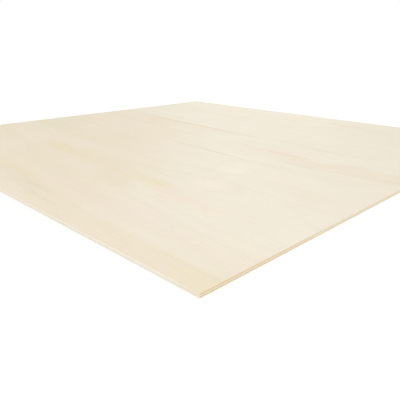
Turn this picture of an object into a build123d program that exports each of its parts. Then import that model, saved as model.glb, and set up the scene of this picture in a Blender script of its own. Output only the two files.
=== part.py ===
from build123d import *
import os

# A square sheet of three-ply plywood, lying flat: two outer veneers with their grain along X,
# and between them a crossband whose grain runs along Y. All plies are sawn flush on all four sides.
# Frame: X along the face grain, Y across it, Z up, origin at the middle of the underside.

# Driving dimensions, in millimetres
sheet_length = 1220.0  # side along the face grain
sheet_width = 1220.0  # side across the face grain
back_ply = 2.0  # thickness of the veneer that lies underneath
core_ply = 2.0  # thickness of the crossband in the middle
face_ply = 2.0  # thickness of the veneer on top
arris_radius = 0.3  # outer edges of the sheet, broken by sanding

# The most of an outer ply's thickness that its rounded arris may take
arris_share = 0.45


def sawn_veneer(thickness, underside):
    """One ply, trimmed to the sheet's outline, with its lower face at the height underside."""
    blank = Box(sheet_length, sheet_width, thickness, align=(Align.CENTER, Align.CENTER, Align.MIN))
    return Pos(0, 0, underside) * blank


def sand_arris(veneer, outer_side, thickness):
    """Rounds the four long edges of an outer ply on the side that shows."""
    radius = min(arris_radius, arris_share * thickness)
    outer_face = veneer.faces().sort_by(Axis.Z)[outer_side]
    return fillet(outer_face.edges(), radius)


# The lay-up, from the floor upwards: each ply starts where the one below it ends
core_underside = back_ply
face_underside = core_underside + core_ply

back_veneer = sand_arris(sawn_veneer(back_ply, 0.0), 0, back_ply)
core_veneer = sawn_veneer(core_ply, core_underside)
face_veneer = sand_arris(sawn_veneer(face_ply, face_underside), -1, face_ply)

plies = {
    "back_veneer": back_veneer,
    "core_veneer": core_veneer,
    "face_veneer": face_veneer,
}

os.makedirs("parts", exist_ok=True)
for name, ply in plies.items():
    export_step(ply, f"parts/{name}.step")
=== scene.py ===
import math

import bpy
from mathutils import Matrix, Vector, noise


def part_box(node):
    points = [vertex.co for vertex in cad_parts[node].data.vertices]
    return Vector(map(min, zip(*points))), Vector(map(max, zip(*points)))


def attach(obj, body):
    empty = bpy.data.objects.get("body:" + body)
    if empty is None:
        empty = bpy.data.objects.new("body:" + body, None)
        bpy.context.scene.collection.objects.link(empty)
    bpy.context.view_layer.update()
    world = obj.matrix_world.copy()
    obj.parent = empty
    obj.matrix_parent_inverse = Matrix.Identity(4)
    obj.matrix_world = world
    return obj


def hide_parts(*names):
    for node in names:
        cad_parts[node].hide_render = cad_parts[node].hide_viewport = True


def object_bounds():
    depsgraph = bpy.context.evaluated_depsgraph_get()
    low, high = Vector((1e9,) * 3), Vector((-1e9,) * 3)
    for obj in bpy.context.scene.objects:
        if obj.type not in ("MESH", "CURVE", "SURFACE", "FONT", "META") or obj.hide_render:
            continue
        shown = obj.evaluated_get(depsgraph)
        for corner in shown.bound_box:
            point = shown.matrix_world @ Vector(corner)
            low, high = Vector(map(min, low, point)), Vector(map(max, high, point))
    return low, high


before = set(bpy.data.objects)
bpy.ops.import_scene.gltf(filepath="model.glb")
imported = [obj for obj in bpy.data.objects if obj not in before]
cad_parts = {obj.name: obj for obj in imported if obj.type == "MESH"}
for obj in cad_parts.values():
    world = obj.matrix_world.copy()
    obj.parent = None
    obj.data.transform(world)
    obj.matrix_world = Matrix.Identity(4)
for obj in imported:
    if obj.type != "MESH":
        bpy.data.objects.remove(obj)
cadLow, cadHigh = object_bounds()  # the box that the looks stay inside
millimetre = 0.001
sheetSize = [round(side / millimetre, 1) for side in cadHigh - cadLow]
print("frame loaded,", len(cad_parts), "plies,", sheetSize, "mm")


# colours and nodes

origin = (0.0, 0.0, 0.0)
nodesInRow, nodeStep = 12, (190, -260)  # how nodes are laid out in the editor


def srgb(red, green, blue):  # screen levels, 0 to 255, to linear colour
    levels = [level / 255 for level in (red, green, blue)]
    return tuple(v / 12.92 if v <= 0.04045 else ((v + 0.055) / 1.055) ** 2.4 for v in levels) + (1.0,)


def addNode(tree, kind, **settings):
    node = tree.nodes.new(kind)
    row, column = divmod(len(tree.nodes), nodesInRow)
    node.location = (nodeStep[0] * column, nodeStep[1] * row)
    for name, value in settings.items():
        setattr(node, name, value)
    return node


def feed(tree, socket, value):  # another node's output is linked, anything else is set
    if isinstance(value, bpy.types.NodeSocket):
        tree.links.new(value, socket)
    else:
        socket.default_value = value


def calc(tree, operation, *values, clamp=False):
    node = addNode(tree, "ShaderNodeMath", operation=operation, use_clamp=clamp)
    for socket, value in zip(node.inputs, values):
        feed(tree, socket, value)
    return node.outputs["Value"]


def ease(tree, value, low, high, start=0.0, end=1.0):  # smooth step from start to end
    node = addNode(tree, "ShaderNodeMapRange", interpolation_type="SMOOTHSTEP")
    settings = {"Value": value, "From Min": low, "From Max": high, "To Min": start, "To Max": end}
    for name, setting in settings.items():
        feed(tree, node.inputs[name], setting)
    return node.outputs["Result"]


def easeDown(tree, value, low, high):  # smooth step from 1 to 0
    return ease(tree, value, low, high, 1.0, 0.0)


def split(tree, vector):
    node = addNode(tree, "ShaderNodeSeparateXYZ")
    feed(tree, node.inputs["Vector"], vector)
    return node.outputs["X"], node.outputs["Y"], node.outputs["Z"]


def combine(tree, x, y, z):
    node = addNode(tree, "ShaderNodeCombineXYZ")
    for socket, value in zip(node.inputs, (x, y, z)):
        feed(tree, socket, value)
    return node.outputs["Vector"]


def mottle(tree, vector, seed, perMetre, shift=0.0, detail=2.0, roughness=0.5):  # noise from 0 to 1
    grid = addNode(tree, "ShaderNodeVectorMath", operation="MULTIPLY")
    feed(tree, grid.inputs[0], vector)
    feed(tree, grid.inputs[1], perMetre)  # so many blots a metre each way
    if shift:  # keeps it apart from the same wood's other noises
        seed = calc(tree, "ADD", seed, shift)
    node = addNode(tree, "ShaderNodeTexNoise", noise_dimensions="4D")
    settings = {"Vector": grid.outputs[0], "W": seed, "Scale": 1.0, "Detail": detail, "Roughness": roughness}
    for name, setting in settings.items():
        feed(tree, node.inputs[name], setting)
    return node.outputs["Fac"]


def swing(tree, vector, seed, **settings):  # the same noise, about zero
    return calc(tree, "SUBTRACT", mottle(tree, vector, seed, **settings), 0.5)


def tint(tree, share, colour, other):
    node = addNode(tree, "ShaderNodeMix", data_type="RGBA", clamp_factor=True)
    for index, value in ((0, share), (6, colour), (7, other)):  # factor, A and B of a colour mix
        feed(tree, node.inputs[index], value)
    return node.outputs[2]


def newGroup(name, inputs, outputs):
    group = bpy.data.node_groups.new(name, "ShaderNodeTree")
    for label, value in inputs.items():
        kind = "NodeSocketFloat" if isinstance(value, float) else "NodeSocketVector"
        group.interface.new_socket(label, in_out="INPUT", socket_type=kind).default_value = value
    for label in outputs:
        group.interface.new_socket(label, in_out="OUTPUT", socket_type="NodeSocketFloat")
    return group, addNode(group, "NodeGroupInput").outputs, addNode(group, "NodeGroupOutput").inputs


def place(tree, group, **values):
    node = addNode(tree, "ShaderNodeGroup", node_tree=group)
    for name, value in values.items():
        feed(tree, node.inputs[name], value)
    return node.outputs


# shared effects of the wood; perMetre counts blots along the grain, across it and through the ply

grainSway = {"perMetre": (1.6, 2.4, 0.0)}


def makeGrainLine():  # how far across the grain a spot lies, once the grain is laid straight along X
    inputs = {"Vector": origin, "Slope": 0.0, "Curl": 0.0, "Wander": 0.0, "Seed": 0.0}
    group, given, result = newGroup("grainLine", inputs, ["Level"])
    along, across = split(group, given["Vector"])[:2]
    bow = calc(group, "MULTIPLY_ADD", along, given["Curl"], given["Slope"])
    bow = calc(group, "MULTIPLY", bow, along)
    sway = swing(group, given["Vector"], given["Seed"], **grainSway)
    sway = calc(group, "MULTIPLY", sway, given["Wander"])
    feed(group, result["Level"], calc(group, "SUBTRACT", calc(group, "SUBTRACT", across, bow), sway))
    return group


ringFigure = {
    "contour": {"detail": 1.5, "roughness": 0.4},
    "darkens": (0.2, 0.95), "steepness": 2.5, "ends": (0.96, 1.0),  # latewood comes slowly and stops short
    "drift": {"perMetre": (1.3, 5.0, 0.0), "shift": 7.3, "detail": 4.0}, "driftShows": (0.3, 0.7),
    "blush": {"perMetre": (4.5, 11.0, 0.0), "shift": 11.9, "detail": 4.0}, "blushShows": (0.35, 0.65),
}


def makeRotaryFigure():  # growth rings as a peeling knife meets them, in long closed contours
    inputs = {"Vector": origin, "Rings": 9.0, "Along": 1.2, "Across": 6.0, "Seed": 0.0}
    group, given, result = newGroup("rotaryFigure", inputs, ["Latewood", "Drift", "Blush"])
    spot = given["Vector"], given["Seed"]
    pitch = combine(group, given["Along"], given["Across"], 0.0)
    height = mottle(group, *spot, pitch, **ringFigure["contour"])
    ring = calc(group, "FRACT", calc(group, "MULTIPLY", height, given["Rings"]))
    rise = calc(group, "POWER", ease(group, ring, *ringFigure["darkens"]), ringFigure["steepness"])
    stop = easeDown(group, ring, *ringFigure["ends"])
    feed(group, result["Latewood"], calc(group, "MULTIPLY", rise, stop))
    drift = mottle(group, *spot, **ringFigure["drift"])
    feed(group, result["Drift"], ease(group, drift, *ringFigure["driftShows"]))
    blush = mottle(group, *spot, **ringFigure["blush"])
    feed(group, result["Blush"], ease(group, blush, *ringFigure["blushShows"]))
    return group


fibreKinds = {  # each kind's noise, and from where to where it shows
    "Bundle": ({"perMetre": (9.0, 210.0, 210.0), "detail": 3.0}, (0.25, 0.75)),
    "Hair": ({"perMetre": (11.0, 640.0, 640.0), "shift": 1.9}, (0.5, 0.75)),
    "Fibre": ({"perMetre": (38.0, 1700.0, 1700.0), "shift": 3.1}, (0.25, 0.75)),
    "Vessel": ({"perMetre": (85.0, 2600.0, 2600.0), "shift": 5.7}, (0.62, 0.74)),
}
bundleRise, vesselDip = 0.5, -0.7  # against the fine fibres' own height


def makeWoodFibre():  # fibre bundles, hairlines, fine fibres and the short dark vessel lines between them
    group, given, result = newGroup("woodFibre", {"Vector": origin, "Seed": 0.0}, [*fibreKinds, "Height"])
    raw, shown = {}, {}
    for name, (settings, limits) in fibreKinds.items():
        raw[name] = mottle(group, given["Vector"], given["Seed"], **settings)
        shown[name] = ease(group, raw[name], *limits)
        feed(group, result[name], shown[name])
    height = calc(group, "MULTIPLY_ADD", raw["Bundle"], bundleRise, raw["Fibre"])
    feed(group, result["Height"], calc(group, "MULTIPLY_ADD", shown["Vessel"], vesselDip, height))
    return group


stainCreep = {
    "fray": {"perMetre": (5.0, 45.0, 0.0), "detail": 4.0, "roughness": 0.6},
    "thread": {"perMetre": (14.0, 120.0, 0.0), "shift": 2.7, "detail": 4.0, "roughness": 0.65},
    "threadGain": 5.0,
    "sway": {"perMetre": (6.0, 8.0, 0.0), "shift": 4.4},
    "uptake": {"perMetre": (13.0, 620.0, 0.0), "shift": 8.8, "detail": 3.0, "roughness": 0.6},
    "uptakeSwing": (0.33, 0.67, 0.1, 1.9),  # from a tenth of the stain to nearly twice as much
}


def makeStainThread():  # how stain creeps along fibres: frayed rims, broken threads, sway, uneven uptake
    outputs = ["Fray", "Thread", "Sway", "Uptake"]
    group, given, result = newGroup("stainThread", {"Vector": origin, "Seed": 0.0}, outputs)
    spot = given["Vector"], given["Seed"]
    feed(group, result["Fray"], swing(group, *spot, **stainCreep["fray"]))
    thread, gain = mottle(group, *spot, **stainCreep["thread"]), stainCreep["threadGain"]
    feed(group, result["Thread"], calc(group, "MULTIPLY_ADD", thread, gain, -gain / 2))
    feed(group, result["Sway"], swing(group, *spot, **stainCreep["sway"]))
    uptake = mottle(group, *spot, **stainCreep["uptake"])
    feed(group, result["Uptake"], ease(group, uptake, *stainCreep["uptakeSwing"]))
    return group


threadShows = (0.25, 0.85)  # how solid a stained thread is where it starts to show, and where it is full


def makeMineralStreak():  # one stained line or band along the grain
    inputs = {"Vector": origin, "Fray": 0.0, "Thread": 0.0, "Sway": 0.0, "Uptake": 1.0, "Start": -0.3,
              "End": 0.3, "Line": 0.0, "Width": 0.01, "Feather": 0.3, "Broken": 0.6}
    group, given, result = newGroup("mineralStreak", inputs, ["Mask"])
    along, across = split(group, given["Vector"])[:2]
    share = calc(group, "SUBTRACT", along, given["Start"])
    share = calc(group, "DIVIDE", share, calc(group, "SUBTRACT", given["End"], given["Start"]))
    share = calc(group, "ADD", share, given["Fray"])
    rise = ease(group, share, 0.0, given["Feather"])
    fall = easeDown(group, share, calc(group, "SUBTRACT", 1.0, given["Feather"]), 1.0)
    off = calc(group, "DIVIDE", calc(group, "SUBTRACT", across, given["Line"]), given["Width"])
    off = calc(group, "ABSOLUTE", calc(group, "ADD", off, given["Sway"]))
    body = easeDown(group, calc(group, "ADD", off, given["Fray"]), 0.0, 1.0)
    body = calc(group, "MULTIPLY", body, calc(group, "MULTIPLY", rise, fall))
    thread = calc(group, "MULTIPLY_ADD", given["Thread"], given["Broken"], body)
    mask = calc(group, "MULTIPLY", body, ease(group, thread, *threadShows))
    feed(group, result["Mask"], calc(group, "MULTIPLY", mask, given["Uptake"]))
    return group


heartAndShadeEdge = {
    "threadPull": 0.12, "uptakePull": 0.2, "fade": (-0.5, 0.5),  # along the grain, in shares of the feather
    "bend": 0.03, "foot": (-0.022, 0.012), "rim": (-0.02, 0.012),  # across the grain, in metres
}


def makeHeartwoodAndShade():  # the warmer part of a veneer: it frays out along the grain between two growth rings; on the face ply it is partly painted shade, darker and warmer over the -X part where less light falls
    inputs = {"Vector": origin, "Fray": 0.0, "Thread": 0.0, "Uptake": 1.0, "End": 0.0, "Lean": 0.0,
              "Feather": 0.3, "Rim": 0.1, "Foot": -1.0}
    group, given, result = newGroup("heartwoodAndShade", inputs, ["Mask"])
    along, across = split(group, given["Vector"])[:2]
    past = calc(group, "SUBTRACT", calc(group, "MULTIPLY_ADD", across, given["Lean"], along), given["End"])
    past = calc(group, "ADD", calc(group, "DIVIDE", past, given["Feather"]), given["Fray"])
    past = calc(group, "MULTIPLY_ADD", given["Thread"], heartAndShadeEdge["threadPull"], past)
    unstained = calc(group, "SUBTRACT", 1.0, given["Uptake"])
    past = calc(group, "MULTIPLY_ADD", unstained, heartAndShadeEdge["uptakePull"], past)
    fade = easeDown(group, past, *heartAndShadeEdge["fade"])
    bent = calc(group, "MULTIPLY_ADD", given["Fray"], heartAndShadeEdge["bend"], across)
    foot = easeDown(group, calc(group, "SUBTRACT", bent, given["Foot"]), *heartAndShadeEdge["foot"])
    rim = easeDown(group, calc(group, "SUBTRACT", bent, given["Rim"]), *heartAndShadeEdge["rim"])
    feed(group, result["Mask"], calc(group, "MULTIPLY", calc(group, "MAXIMUM", fade, foot), rim))
    return group


eyeShape = {
    "bell": 0.3, "push": 0.8,  # how soon the grain lies straight again, and how far it gives way
    "blot": {"perMetre": (24.0, 46.0, 0.0), "detail": 3.0}, "blotShare": 2.6,
    "rim": (0.4, 1.15), "curls": 9.0, "curlMiddle": 0.65, "curlSwing": 0.35,
}


def makePinFigure():  # a small pale eye over a buried bud, and how far it pushes the grain aside
    inputs = {"Vector": origin, "Along": 0.0, "Line": 0.0, "Length": 0.05, "Width": 0.02, "Seed": 0.0}
    group, given, result = newGroup("pinFigure", inputs, ["Mask", "Push"])
    along, across = split(group, given["Vector"])[:2]
    long = calc(group, "DIVIDE", calc(group, "SUBTRACT", along, given["Along"]), given["Length"])
    wide = calc(group, "DIVIDE", calc(group, "SUBTRACT", across, given["Line"]), given["Width"])
    reach = calc(group, "ADD", calc(group, "MULTIPLY", long, long), calc(group, "MULTIPLY", wide, wide))
    near = calc(group, "POWER", eyeShape["bell"], reach)  # 1 in the middle
    aside = calc(group, "MULTIPLY", calc(group, "MULTIPLY", wide, near), given["Width"])
    feed(group, result["Push"], calc(group, "MULTIPLY", aside, eyeShape["push"]))
    blot = swing(group, given["Vector"], given["Seed"], **eyeShape["blot"])
    rim = calc(group, "MULTIPLY_ADD", blot, eyeShape["blotShare"], calc(group, "SQRT", reach))
    curl = calc(group, "SINE", calc(group, "MULTIPLY", rim, eyeShape["curls"]))
    curl = calc(group, "MULTIPLY_ADD", curl, eyeShape["curlSwing"], eyeShape["curlMiddle"])
    feed(group, result["Mask"], calc(group, "MULTIPLY", easeDown(group, rim, *eyeShape["rim"]), curl))
    return group


sawnLook = {
    "endShows": (0.45, 0.85), "sideShows": (0.35, 0.8), "flatShows": (0.2, 0.7),  # by the way a spot faces
    "pores": {"perMetre": (2900.0, 2900.0, 2900.0)}, "poresShow": (0.55, 0.7),
    "smudge": {"perMetre": (70.0, 70.0, 70.0), "detail": 3.0},
    "faceGrip": 0.2, "sideGrip": 0.8,  # hands soil the sides by both shares, the face by the first
    "teeth": {"perMetre": (1150.0, 90.0, 0.0)}, "teethShow": (0.35, 0.65), "teethLean": 0.35,
}


def makeSawnEdge():  # where fibres are cut across, strips along the arrises that carry a worn tone, painted highlight and painted shade, and the fine upright marks of the saw
    inputs = {"Vector": origin, "Facing": origin, "Grain": (1.0, 0.0, 0.0), "Half": (0.5, 0.5, 0.0),
              "LongRub": 0.001, "CutRub": 0.001, "Handled": 0.05,
              "PaleFrom": 0.0, "PaleTo": 1.0, "PaleLoss": 0.0, "Seed": 0.0}
    outputs = ["End", "Side", "LongArris", "CutArris", "Marks", "Pores", "Corner"]
    group, given, result = newGroup("sawnEdge", inputs, outputs)
    along = addNode(group, "ShaderNodeVectorMath", operation="DOT_PRODUCT")
    feed(group, along.inputs[0], given["Facing"])
    feed(group, along.inputs[1], given["Grain"])
    end = ease(group, calc(group, "ABSOLUTE", along.outputs["Value"]), *sawnLook["endShows"])
    x, y, z = split(group, given["Vector"])
    paling = ease(group, y, given["PaleFrom"], given["PaleTo"], 0.0, given["PaleLoss"])  # end grain paler further along the cut towards +Y
    feed(group, result["End"], calc(group, "MULTIPLY", end, calc(group, "SUBTRACT", 1.0, paling)))
    pores = mottle(group, given["Vector"], given["Seed"], **sawnLook["pores"])
    feed(group, result["Pores"], calc(group, "MULTIPLY", ease(group, pores, *sawnLook["poresShow"]), end))

    up = calc(group, "ABSOLUTE", split(group, given["Facing"])[2])
    side = easeDown(group, up, *sawnLook["sideShows"])
    feed(group, result["Side"], side)
    flat = ease(group, up, *sawnLook["flatShows"])
    halfX, halfY = split(group, given["Half"])[:2]
    nearX = calc(group, "SUBTRACT", halfX, calc(group, "ABSOLUTE", x))
    nearY = calc(group, "SUBTRACT", halfY, calc(group, "ABSOLUTE", y))
    longArris = easeDown(group, nearY, 0.0, given["LongRub"])  # of a ply with its grain along X
    feed(group, result["LongArris"], calc(group, "MULTIPLY", longArris, flat))
    # the strip along the sawn ends: painted highlight on the face ply, painted shade on the back ply
    cutArris = easeDown(group, nearX, 0.0, given["CutRub"])
    feed(group, result["CutArris"], calc(group, "MULTIPLY", cutArris, flat))

    reach = calc(group, "MULTIPLY_ADD", nearX, nearX, calc(group, "MULTIPLY", nearY, nearY))
    reach = calc(group, "DIVIDE", calc(group, "SQRT", reach), given["Handled"])
    smudge = swing(group, given["Vector"], given["Seed"], **sawnLook["smudge"])
    held = easeDown(group, calc(group, "ADD", reach, smudge), 0.0, 1.0)
    grip = calc(group, "MULTIPLY_ADD", side, sawnLook["sideGrip"], sawnLook["faceGrip"])
    feed(group, result["Corner"], calc(group, "MULTIPLY", held, grip))

    travel = calc(group, "ADD", x, y)  # runs along any edge
    travel = calc(group, "MULTIPLY_ADD", z, sawnLook["teethLean"], travel)
    teeth = mottle(group, combine(group, travel, z, 0.0), given["Seed"], **sawnLook["teeth"])
    feed(group, result["Marks"], calc(group, "MULTIPLY", ease(group, teeth, *sawnLook["teethShow"]), side))
    return group


grainLine = makeGrainLine()
rotaryFigure = makeRotaryFigure()
woodFibre = makeWoodFibre()
stainThread = makeStainThread()
mineralStreak = makeMineralStreak()
heartwoodAndShade = makeHeartwoodAndShade()
pinFigure = makePinFigure()
sawnEdge = makeSawnEdge()
print("wood effects built:", [group.name for group in bpy.data.node_groups])


# one veneer's bare wood: its own tones and values, the shared effects above

def veneerMaterial(name, look):
    material = bpy.data.materials.new(name)
    material.use_nodes = True
    tree = material.node_tree
    tree.nodes.clear()
    output = addNode(tree, "ShaderNodeOutputMaterial")
    shader = addNode(tree, "ShaderNodeBsdfPrincipled")
    tree.links.new(shader.outputs["BSDF"], output.inputs["Surface"])
    shader.inputs["IOR"].default_value = look["ior"]

    spot = addNode(tree, "ShaderNodeTexCoord").outputs["Object"]
    facing = addNode(tree, "ShaderNodeNewGeometry").outputs["Normal"]
    grain = (1.0, 0.0, 0.0)
    wood = spot
    if look["crossed"]:  # the crossband's grain runs along Y
        grain = (0.0, 1.0, 0.0)
        x, y, z = split(tree, spot)
        wood = combine(tree, y, x, z)
    seed = look["seed"]
    along, through = split(tree, wood)[::2]
    level = place(tree, grainLine, Vector=wood, Slope=look["slope"], Curl=look["curl"],
                  Wander=look["wander"], Seed=seed)["Level"]
    line = combine(tree, along, level, through)
    eyes = [place(tree, pinFigure, Vector=line, Seed=seed, **bud) for bud in look["buds"]]
    for eye in eyes:
        level = calc(tree, "SUBTRACT", level, eye["Push"])
    line = combine(tree, along, level, through)  # straight along the grain, also round the eyes
    figure = place(tree, rotaryFigure, Vector=line, Rings=look["rings"], Along=look["figureAlong"],
                   Across=look["figureAcross"], Seed=seed)
    fibre = place(tree, woodFibre, Vector=line, Seed=seed)
    stain = place(tree, stainThread, Vector=line, Seed=seed)
    edge = place(tree, sawnEdge, Vector=spot, Facing=facing, Grain=grain, Half=tuple(cadHigh),
                 LongRub=look["longStrip"], CutRub=look["cutStrip"], Handled=look["handled"], Seed=seed,
                 **look["paleEnds"])

    def stained(tone, mask, kind):  # lays a look's tone over the wood by its share
        return tint(tree, calc(tree, "MULTIPLY", mask, look[kind + "Share"]), tone, look[kind])

    tone = tint(tree, figure["Drift"], look["pale"], look["warm"])
    if look["heartAndShadeShare"]:
        heartAndShade = place(tree, heartwoodAndShade, Vector=line, Fray=stain["Fray"], Thread=stain["Thread"],
                      Uptake=stain["Uptake"], **look["heartAndShadeZone"])
        tone = stained(tone, heartAndShade["Mask"], "heartAndShade")
    tone = stained(tone, figure["Blush"], "blush")
    tone = stained(tone, figure["Latewood"], "latewood")
    tone = stained(tone, fibre["Bundle"], "bundle")
    tone = stained(tone, fibre["Hair"], "hair")
    for mark in look["streaks"]:
        mask = place(tree, mineralStreak, Vector=line, Fray=stain["Fray"], Thread=stain["Thread"],
                     Sway=stain["Sway"], Uptake=stain["Uptake"], **mark["sockets"])["Mask"]
        tone = tint(tree, calc(tree, "MULTIPLY", mask, mark["share"]), tone, mark["tone"])
    for eye in eyes:
        tone = stained(tone, eye["Mask"], "bud")
    tone = stained(tone, edge["LongArris"], "longArris")
    tone = stained(tone, edge["CutArris"], "cutArris")
    tone = stained(tone, edge["Side"], "side")
    tone = stained(tone, edge["End"], "end")
    tone = stained(tone, edge["Marks"], "saw")
    tone = stained(tone, edge["Pores"], "pore")
    tone = stained(tone, edge["Corner"], "soil")
    tone = stained(tone, fibre["Fibre"], "fibre")
    tone = stained(tone, fibre["Vessel"], "vessel")
    feed(tree, shader.inputs["Base Color"], tone)

    rough = calc(tree, "MULTIPLY_ADD", fibre["Bundle"], look["roughSwing"], look["rough"])
    rough = calc(tree, "MULTIPLY_ADD", edge["Side"], look["sideRough"], rough, clamp=True)
    feed(tree, shader.inputs["Roughness"], rough)

    sawn = calc(tree, "MULTIPLY", edge["Marks"], look["sawDepth"])
    height = calc(tree, "MULTIPLY_ADD", fibre["Height"], look["fibreDepth"], sawn)
    bump = addNode(tree, "ShaderNodeBump")
    bump.inputs["Distance"].default_value = 1.0  # the height is in metres
    bump.inputs["Strength"].default_value = look["relief"]
    feed(tree, bump.inputs["Height"], height)
    feed(tree, shader.inputs["Normal"], bump.outputs["Normal"])
    return material


bareWood = {  # what all three plies share
    "ior": 1.45,
    "crossed": False,
    "slope": 0.0, "curl": 0.0, "wander": 0.05,  # how the grain leans, bends and sways
    "rings": 9.0, "figureAlong": 1.1, "figureAcross": 5.5,
    "pale": srgb(247, 240, 221), "warm": srgb(245, 237, 216),
    "heartAndShade": srgb(243, 231, 205), "heartAndShadeShare": 0.0,
    "blush": srgb(248, 236, 220), "blushShare": 0.4,
    "latewood": srgb(230, 214, 185), "latewoodShare": 0.1,
    "bundle": srgb(234, 221, 197), "bundleShare": 0.045,
    "hair": srgb(226, 209, 179), "hairShare": 0.16,
    "fibre": srgb(228, 212, 184), "fibreShare": 0.2,
    "vessel": srgb(200, 178, 142), "vesselShare": 0.4,
    # strips along the arrises of a broad face; on the face ply's sawn ends a lighter, warmer rim, partly the
    # cut's own fuzz and partly a painted highlight
    "longArris": srgb(240, 231, 213), "longArrisShare": 0.6, "longStrip": 1.4 * millimetre,
    "cutArris": srgb(254, 231, 195), "cutArrisShare": 0.9, "cutStrip": 1.7 * millimetre,
    "side": srgb(253, 247, 232), "sideShare": 0.8,
    "end": srgb(228, 205, 168), "endShare": 0.9,
    "paleEnds": {"PaleFrom": -0.54, "PaleTo": -0.28, "PaleLoss": 0.56},  # metres along the cut, and the tone lost
    "saw": srgb(208, 184, 146), "sawShare": 0.1,
    "pore": srgb(184, 156, 116), "poreShare": 0.3,
    "soil": srgb(226, 204, 166), "soilShare": 0.16, "handled": 70 * millimetre,
    "rough": 0.52, "roughSwing": 0.12, "sideRough": 0.2,
    "fibreDepth": 0.03 * millimetre, "sawDepth": 0.03 * millimetre, "relief": 0.6,
    "bud": srgb(254, 244, 231), "budShare": 0.65,
    "buds": [], "streaks": [],
}


def streak(tone, share, start, end, line, width, feather=0.3, broken=0.5):
    # start and end along the grain, its line across it, half its width: metres from the sheet's middle
    sockets = {"Start": start, "End": end, "Line": line, "Width": width, "Feather": feather, "Broken": broken}
    return {"tone": tone, "share": share, "sockets": sockets}


# the face veneer, as the photograph shows it

brownStain = srgb(225, 199, 157)
greyStain = srgb(206, 200, 176)
redStain = srgb(230, 206, 170)
yellowStain = srgb(238, 222, 172)
pinkStain = srgb(251, 229, 207)
roseStain = srgb(247, 224, 213)
greenStain = srgb(218, 224, 184)

faceVeneer = dict(bareWood, **{
    "seed": 2.0,
    "slope": -0.0885, "curl": 0.0575, "wander": 0.02,
    "soilShare": 0.32, "handled": 85 * millimetre,
    "heartAndShadeShare": 1.0,  # its zone ends along the grain, leaning, and has two rims across it; partly heartwood, partly painted shade darkening the -X part of the face
    "heartAndShadeZone": {"End": -0.06, "Lean": 0.75, "Feather": 0.34, "Rim": 0.135, "Foot": -0.532},
    "buds": [
        {"Along": 0.30, "Line": -0.170, "Length": 0.040, "Width": 0.055},
        {"Along": 0.335, "Line": -0.285, "Length": 0.042, "Width": 0.038},
    ],
    "streaks": [
        streak(greenStain, 0.17, -1.00, -0.28, -0.210, 0.200, broken=0.1),
        streak(brownStain, 0.24, -0.62, 0.12, 0.134, 0.024),
        streak(brownStain, 0.52, -0.50, -0.10, 0.138, 0.011, broken=0.4),
        streak(brownStain, 0.48, -0.22, 0.02, 0.142, 0.011, broken=0.4),
        streak(greyStain, 0.50, -0.09, 0.16, 0.142, 0.008, broken=0.3),
        streak(greyStain, 0.17, 0.20, 0.50, 0.142, 0.010),
        streak(redStain, 0.13, 0.02, 1.20, 0.020, 0.090, broken=0.4),
        streak(greyStain, 0.13, 0.05, 0.42, 0.085, 0.006),
        streak(greyStain, 0.13, 0.22, 0.62, 0.064, 0.006),
        streak(brownStain, 0.20, 0.28, 0.62, 0.018, 0.008, broken=0.7),
        streak(brownStain, 0.18, 0.42, 0.85, 0.002, 0.007, broken=0.7),
        streak(redStain, 0.48, 0.08, 0.44, 0.037, 0.017, broken=0.8),
        streak(brownStain, 0.35, 0.27, 0.41, 0.040, 0.011, broken=0.3),
        streak(redStain, 0.15, 0.36, 0.70, 0.045, 0.022, broken=0.8),
        streak(redStain, 0.15, 0.32, 0.85, -0.010, 0.020, broken=0.8),
        streak(greyStain, 0.28, 0.28, 0.45, -0.026, 0.007, broken=0.2),
        streak(greyStain, 0.07, 0.22, 0.58, -0.078, 0.034, broken=0.3),
        streak(redStain, 0.36, -0.06, 0.28, -0.078, 0.014, broken=0.8),
        streak(yellowStain, 0.30, -0.85, -0.40, -0.250, 0.042, feather=0.4),
        streak(yellowStain, 0.13, -0.50, -0.14, -0.257, 0.026, broken=0.7),
        streak(yellowStain, 0.14, -0.75, -0.36, -0.336, 0.030, broken=0.8),
        streak(yellowStain, 0.30, -0.36, 0.10, -0.357, 0.046, broken=0.6),
        streak(yellowStain, 0.18, -0.06, 0.22, -0.362, 0.030, broken=0.7),
        streak(yellowStain, 0.28, 0.12, 0.33, -0.362, 0.060, feather=0.35),
        streak(pinkStain, 0.27, 0.22, 0.54, -0.375, 0.042, broken=0.5),
        streak(roseStain, 0.13, 0.10, 1.00, -0.496, 0.085, broken=0.0),
        streak(yellowStain, 0.25, -0.26, 0.14, -0.525, 0.024, broken=0.7),
        streak(greyStain, 0.14, -0.60, 0.30, -0.555, 0.045, broken=0.3),
        streak(yellowStain, 0.13, 0.34, 1.00, -0.555, 0.026, broken=0.4),
        streak(greyStain, 0.12, 0.40, 0.80, -0.541, 0.005, broken=0.3),
        streak(greyStain, 0.08, 0.28, 0.64, -0.245, 0.006),
        streak(redStain, 0.25, 0.06, 0.32, 0.520, 0.030, broken=0.7),
    ],
})

coreVeneer = dict(bareWood, **{
    "seed": 31.0, "crossed": True,
    "pale": srgb(246, 229, 199), "warm": srgb(240, 222, 190),
    "side": srgb(252, 238, 208), "end": srgb(241, 235, 221),
    "longArrisShare": 0.0, "cutArrisShare": 0.0, "paleEnds": {},
})

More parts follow.
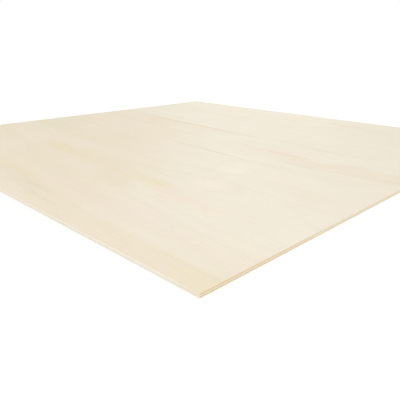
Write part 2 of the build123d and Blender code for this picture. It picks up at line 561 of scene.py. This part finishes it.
backVeneer = dict(bareWood, **{
    "seed": 57.0, "slope": 0.03, "curl": -0.04,
    "pale": srgb(244, 235, 215), "warm": srgb(239, 228, 205),
    "latewoodShare": 0.25,
    "heartAndShadeShare": 0.8, "heartAndShadeZone": {"End": 0.15, "Lean": -0.5, "Feather": 0.4, "Rim": 0.26},
    # the back ply's sides: a wood tone darkened by painted shade, where the floor's contact shadow falls
    # along the foot of the edge
    "side": srgb(240, 235, 223), "end": srgb(224, 211, 178),
    "longArris": srgb(226, 216, 194), "cutArris": srgb(214, 200, 170),  # painted shade: the floor's contact shadow along the foot of the edges
    "streaks": [
        streak(yellowStain, 0.5, -0.80, -0.05, 0.31, 0.030),
        streak(redStain, 0.5, -0.20, 0.55, -0.12, 0.016),
        streak(yellowStain, 0.45, 0.05, 0.80, 0.17, 0.040),
        streak(brownStain, 0.45, -0.55, 0.20, -0.44, 0.012),
        streak(greyStain, 0.25, -0.10, 0.40, 0.42, 0.010),
    ],
})


# a ply's closed mesh: fine along its sawn edges, coarser in steps towards the middle

plyShape = {
    "steps": 640,  # along each side, halved at every ring of a broad face
    "rings": [inset * millimetre for inset in (2.5, 6.5, 14, 30)],  # how far in each ring lies
    "sideRows": (0.35, 0.65),  # shares of the height
    "arris": 0.3 * millimetre, "arrisSteps": 4,
    "glueBevel": 0.05 * millimetre,  # where two plies meet
    "cornerWear": 0.2 * millimetre,
    "cornerFade": 4 * millimetre,  # relief dies out this near a corner
}

sawCut = {
    "swing": 0.05 * millimetre,  # how far a sawn side wavers, always inwards
    "waver": (110, 150), "waverShare": 0.6,  # slow and quick swings a metre, along the cut and up it
    "fuzz": (420, 900), "fuzzShare": 0.4,
    "splinter": 0.35 * millimetre,  # the deepest chip out of an arris
    "cutChips": (150, 1.0), "longChips": (45, 0.4),  # how close and how deep, across the grain and along it
    "chipFrom": 0.4,  # only the peaks of the noise chip
    "chipIn": 0.5,  # how far in a chip goes for its depth
    "waverApart": 17.3, "fuzzApart": 5.1, "chipApart": 9.7,  # no two sides alike
}

bakeMap = {  # shares of the map's side
    "gap": 0.004,
    "edgeBand": 0.075, "coreBand": 0.96,  # the height that edges take, with a broad face in view or without
    "edgeEnd": 0.955, "hiddenStart": 0.965, "hiddenTop": 0.06,
    "coreFolds": 4,  # lengths that a core edge is cut into
}


def sideProfile(height, outerTop, outerBottom):  # each row's inset, height and share of wear, bottom to top
    arris, bevel = plyShape["arris"], plyShape["glueBevel"]
    turns = [math.radians(90 * step / plyShape["arrisSteps"]) for step in range(plyShape["arrisSteps"] + 1)]
    curve = [(arris * (1 - math.cos(turn)), arris * (1 - math.sin(turn)), 1.0) for turn in turns]
    seam = [(0.0, bevel, 0.0), (bevel, 0.0, 0.0)]
    bottom = list(reversed(curve if outerBottom else seam))
    middle = [(0.0, height * share, 0.0) for share in plyShape["sideRows"]]
    top = [(inset, height - depth, wear) for inset, depth, wear in (curve if outerTop else seam)]
    return bottom + middle + top


def edgeRelief(side, travel, height, seed, crossCut):  # inward waver of the saw cut, and chips at the arris
    along, up = sawCut["waver"]
    waver = 0.5 + 0.5 * noise.noise(Vector((travel * along, height * up, side * sawCut["waverApart"])))
    along, up = sawCut["fuzz"]
    fuzz = 0.5 + 0.5 * noise.noise(Vector((travel * along, height * up, side * sawCut["fuzzApart"] + seed)))
    close, deep = sawCut["cutChips" if crossCut else "longChips"]
    peak = noise.noise(Vector((travel * close, side * sawCut["chipApart"], seed)))
    chip = max(0.0, peak - sawCut["chipFrom"]) / (1 - sawCut["chipFrom"])
    waver = sawCut["waverShare"] * waver + sawCut["fuzzShare"] * fuzz
    return sawCut["swing"] * waver, sawCut["splinter"] * deep * chip


def bakeAreas(broadShown, folds):  # on the bake map: the broad face, each length of edge, what is hidden
    gap = bakeMap["gap"]
    band = bakeMap["edgeBand" if broadShown else "coreBand"]
    strip = (band - gap) / (4 * folds)
    broad = (gap, band + gap, 1 - gap, 1 - gap)
    edges = [(gap, gap + strip * row, bakeMap["edgeEnd"], strip * (row + 1)) for row in range(4 * folds)]
    hidden = (bakeMap["hiddenStart"], gap, 1 - gap, bakeMap["hiddenTop"])
    return broad, edges, hidden


def onMap(area, across, up):
    return area[0] + (area[2] - area[0]) * across, area[1] + (area[3] - area[1]) * up


def plyMesh(name, node, seed, cutSides, outerTop=False, outerBottom=False):
    low, high = [Vector(corner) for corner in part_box(node)]
    size, steps = high - low, plyShape["steps"]
    folds = 1 if outerTop or outerBottom else bakeMap["coreFolds"]
    broad, edges, hidden = bakeAreas(outerTop or outerBottom, folds)
    points, faces, spots = [], [], []

    def ring(inset, height, count, wear=None):  # anticlockwise from above, starting at the lowest x and y
        first = len(points)
        corners = [Vector((low.x + inset, low.y + inset)), Vector((high.x - inset, low.y + inset)),
                   Vector((high.x - inset, high.y - inset)), Vector((low.x + inset, high.y - inset))]
        for side, corner in enumerate(corners):
            course = corners[(side + 1) % 4] - corner
            inward = course.orthogonal().normalized()
            for step in range(count):
                spot, level = corner + course * (step / count), height
                if wear is not None and step == 0:
                    spot += (inward + course.normalized()) * plyShape["cornerWear"]
                elif wear is not None:
                    travel = course.length * step / count
                    fade = min(travel, course.length - travel) / plyShape["cornerFade"]
                    fade = min(1.0, fade)
                    waver, chip = edgeRelief(side, travel, height, seed, side in cutSides)
                    spot += inward * fade * (waver + sawCut["chipIn"] * chip * wear)
                    level += fade * chip * wear * (-1 if outerTop else 1)
                points.append((spot.x, spot.y, level))
        return list(range(first, len(points)))

    def addCapFace(corners, up, area):
        corners = corners if up else corners[::-1]
        shares = [((points[i][0] - low.x) / size.x, (points[i][1] - low.y) / size.y) for i in corners]
        faces.append(corners)
        spots.append([onMap(area, *share) for share in shares])

    def cap(outer, height, up, area):
        count = steps
        for inset in plyShape["rings"]:  # each ring has half the points of the one outside it
            count //= 2
            inner = ring(inset, height, count)
            for i in range(len(inner)):
                a, b, c = outer[2 * i], outer[2 * i + 1], outer[(2 * i + 2) % len(outer)]
                d, e = inner[i], inner[(i + 1) % len(inner)]
                for corners in ((a, b, d), (b, e, d), (b, c, e)):
                    addCapFace(corners, up, area)
            outer = inner
        inset = plyShape["rings"][-1]
        grid = {}
        for i in range(count):  # the last ring is the rim of a plain grid
            grid[i, 0], grid[count, i] = outer[i], outer[count + i]
            grid[count - i, count], grid[0, count - i] = outer[2 * count + i], outer[3 * count + i]
        for i in range(1, count):
            for j in range(1, count):
                grid[i, j] = len(points)
                x = low.x + inset + (size.x - 2 * inset) * i / count
                y = low.y + inset + (size.y - 2 * inset) * j / count
                points.append((x, y, height))
        for i in range(count):
            for j in range(count):
                addCapFace((grid[i, j], grid[i + 1, j], grid[i + 1, j + 1], grid[i, j + 1]), up, area)

    profile = sideProfile(size.z, outerTop, outerBottom)
    rows = [ring(inset, low.z + height, steps, wear) for inset, height, wear in profile]
    for level, (under, over) in enumerate(zip(rows, rows[1:])):
        foot, head = level / (len(rows) - 1), (level + 1) / (len(rows) - 1)
        for i in range(4 * steps):
            after = (i + 1) % (4 * steps)
            faces.append((under[i], under[after], over[after], over[i]))
            side, step = divmod(i, steps)
            fold, start = divmod(step * folds, steps)
            start, end = start / steps, (start + folds) / steps
            area = edges[side * folds + fold]
            spots.append([onMap(area, start, foot), onMap(area, end, foot),
                          onMap(area, end, head), onMap(area, start, head)])
    cap(rows[-1], high.z, True, broad if outerTop else hidden)
    cap(rows[0], low.z, False, broad if outerBottom else hidden)

    mesh = bpy.data.meshes.new(name)
    mesh.from_pydata(points, [], faces)
    unwrapped = [number for face in spots for spot in face for number in spot]
    mesh.uv_layers.new(name="OFBake").data.foreach_set("uv", unwrapped)
    mesh.shade_smooth()
    piece = bpy.data.objects.new(name, mesh)
    bpy.context.scene.collection.objects.link(piece)
    flat = piece.modifiers.new("flatFaces", "WEIGHTED_NORMAL")  # broad faces stay flat up to the arris
    flat.keep_sharp = True
    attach(piece, "root")
    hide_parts(node)
    print(name, len(points), "points,", len(faces), "faces")
    return piece


longSides, endSides = (0, 2), (1, 3)  # of a ply with its grain along X
facePly = plyMesh("facePly", "face_veneer", seed=1.0, cutSides=endSides, outerTop=True)
facePly.data.materials.append(veneerMaterial("faceVeneer", faceVeneer))
corePly = plyMesh("corePly", "core_veneer", seed=2.0, cutSides=longSides)
corePly.data.materials.append(veneerMaterial("coreVeneer", coreVeneer))
backPly = plyMesh("backPly", "back_veneer", seed=3.0, cutSides=endSides, outerBottom=True)
backPly.data.materials.append(veneerMaterial("backVeneer", backVeneer))


# floor, light and camera

studio = {
    "floorLevel": -0.05 * millimetre, "floorReach": 40.0,
    "floorTone": (0.9, 0.9, 0.9, 1.0),
    "lift": (0.15, 0.31),  # brings the floor up to white, more where the lamps fall off
    "liftFrom": (-0.1, -1.0, 0.0), "liftReach": (0.45, 1.7),
    "skyTone": (1.0, 1.0, 1.0, 1.0),
    "surround": 0.79,  # shares of the light on the face: all together 1 shows a colour as written
    "lamps": [
        {"name": "frontSoftbox", "share": 0.113, "at": Vector((2.0, -2.8, 2.0)), "size": (2.5, 2.5)},
        {"name": "backSoftbox", "share": 0.030, "at": Vector((-2.0, 3.0, 1.5)), "size": (2.0, 1.8)},
    ],
}


def cameraSight(tree):  # 1 for what the camera sees, also in a reflection or through glass
    path = addNode(tree, "ShaderNodeLightPath").outputs
    seen = calc(tree, "MAXIMUM", path["Is Camera Ray"], path["Is Glossy Ray"])
    return calc(tree, "MAXIMUM", seen, path["Is Transmission Ray"])


def addFloor():
    reach, level = studio["floorReach"], studio["floorLevel"]
    mesh = bpy.data.meshes.new("floor")
    corners = [(-reach, -reach, level), (reach, -reach, level), (reach, reach, level), (-reach, reach, level)]
    mesh.from_pydata(corners, [], [(0, 1, 2, 3)])
    floor = bpy.data.objects.new("floor", mesh)
    bpy.context.scene.collection.objects.link(floor)
    material = bpy.data.materials.new("paleFloor")
    material.use_nodes = True
    tree = material.node_tree
    tree.nodes.clear()
    matt = addNode(tree, "ShaderNodeBsdfDiffuse")
    matt.inputs["Color"].default_value = studio["floorTone"]
    lift = addNode(tree, "ShaderNodeEmission")
    away = addNode(tree, "ShaderNodeVectorMath", operation="DISTANCE")
    feed(tree, away.inputs[0], addNode(tree, "ShaderNodeTexCoord").outputs["Object"])
    feed(tree, away.inputs[1], studio["liftFrom"])
    glow = ease(tree, away.outputs["Value"], *studio["liftReach"], *studio["lift"])
    feed(tree, lift.inputs["Strength"], calc(tree, "MULTIPLY", cameraSight(tree), glow))
    both = addNode(tree, "ShaderNodeAddShader")
    tree.links.new(matt.outputs["BSDF"], both.inputs[0])
    tree.links.new(lift.outputs["Emission"], both.inputs[1])
    tree.links.new(both.outputs["Shader"], addNode(tree, "ShaderNodeOutputMaterial").inputs["Surface"])
    mesh.materials.append(material)


def addLight():
    world = bpy.data.worlds.new("paleStudio")
    bpy.context.scene.world = world
    world.use_nodes = True
    tree = world.node_tree
    tree.nodes.clear()
    sky = addNode(tree, "ShaderNodeBackground")
    sky.inputs["Color"].default_value = studio["skyTone"]
    level = addNode(tree, "ShaderNodeMapRange")
    for name, value in {"Value": cameraSight(tree), "To Min": studio["surround"], "To Max": 1.0}.items():
        feed(tree, level.inputs[name], value)
    feed(tree, sky.inputs["Strength"], level.outputs["Result"])
    tree.links.new(sky.outputs["Background"], addNode(tree, "ShaderNodeOutputWorld").inputs["Surface"])

    for lamp in studio["lamps"]:  # each is turned to the middle of the sheet
        light = bpy.data.lights.new(lamp["name"], "AREA")
        light.shape = "RECTANGLE"
        light.size, light.size_y = lamp["size"]
        away = lamp["at"]  # below, the watts that give the lamp's share there
        light.energy = lamp["share"] * (math.pi * away.length) ** 2 / away.normalized().z
        holder = bpy.data.objects.new(lamp["name"], light)
        holder.matrix_world = Matrix.Translation(away) @ away.to_track_quat("Z", "Y").to_matrix().to_4x4()
        bpy.context.scene.collection.objects.link(holder)


photoView = {
    "pixels": 400, "focal": 456.74, "axisAt": 190.72,  # width, focal length and optical axis, in pixels
    "stand": Vector((921.0, -929.9, 272.05)) * millimetre,
    "heading": 135.512, "pitch": -19.205, "roll": 0.224,  # degrees, heading from X towards Y
    "sensor": 36.0,  # millimetres across, as Blender counts them
    "clip": (0.01, 100.0),
}


def addCamera():
    heading, pitch, roll = [math.radians(photoView[name]) for name in ("heading", "pitch", "roll")]
    level = math.cos(pitch)
    ahead = Vector((level * math.cos(heading), level * math.sin(heading), math.sin(pitch)))
    right = ahead.cross(Vector((0, 0, 1))).normalized()
    up = right.cross(ahead)
    right, up = right * math.cos(roll) + up * math.sin(roll), up * math.cos(roll) - right * math.sin(roll)
    lens = bpy.data.cameras.new("photoCamera")
    lens.sensor_width = photoView["sensor"]
    lens.lens = photoView["focal"] * lens.sensor_width / photoView["pixels"]
    lens.shift_x = 0.5 - photoView["axisAt"] / photoView["pixels"]
    lens.clip_start, lens.clip_end = photoView["clip"]
    camera = bpy.data.objects.new("photoCamera", lens)
    turned = Matrix((right, up, -ahead)).transposed().to_4x4()
    camera.matrix_world = Matrix.Translation(photoView["stand"]) @ turned
    bpy.context.scene.collection.objects.link(camera)
    bpy.context.scene.camera = camera


addFloor()
addLight()
addCamera()
bpy.context.scene.view_settings.view_transform = "Standard"
print("studio ready")
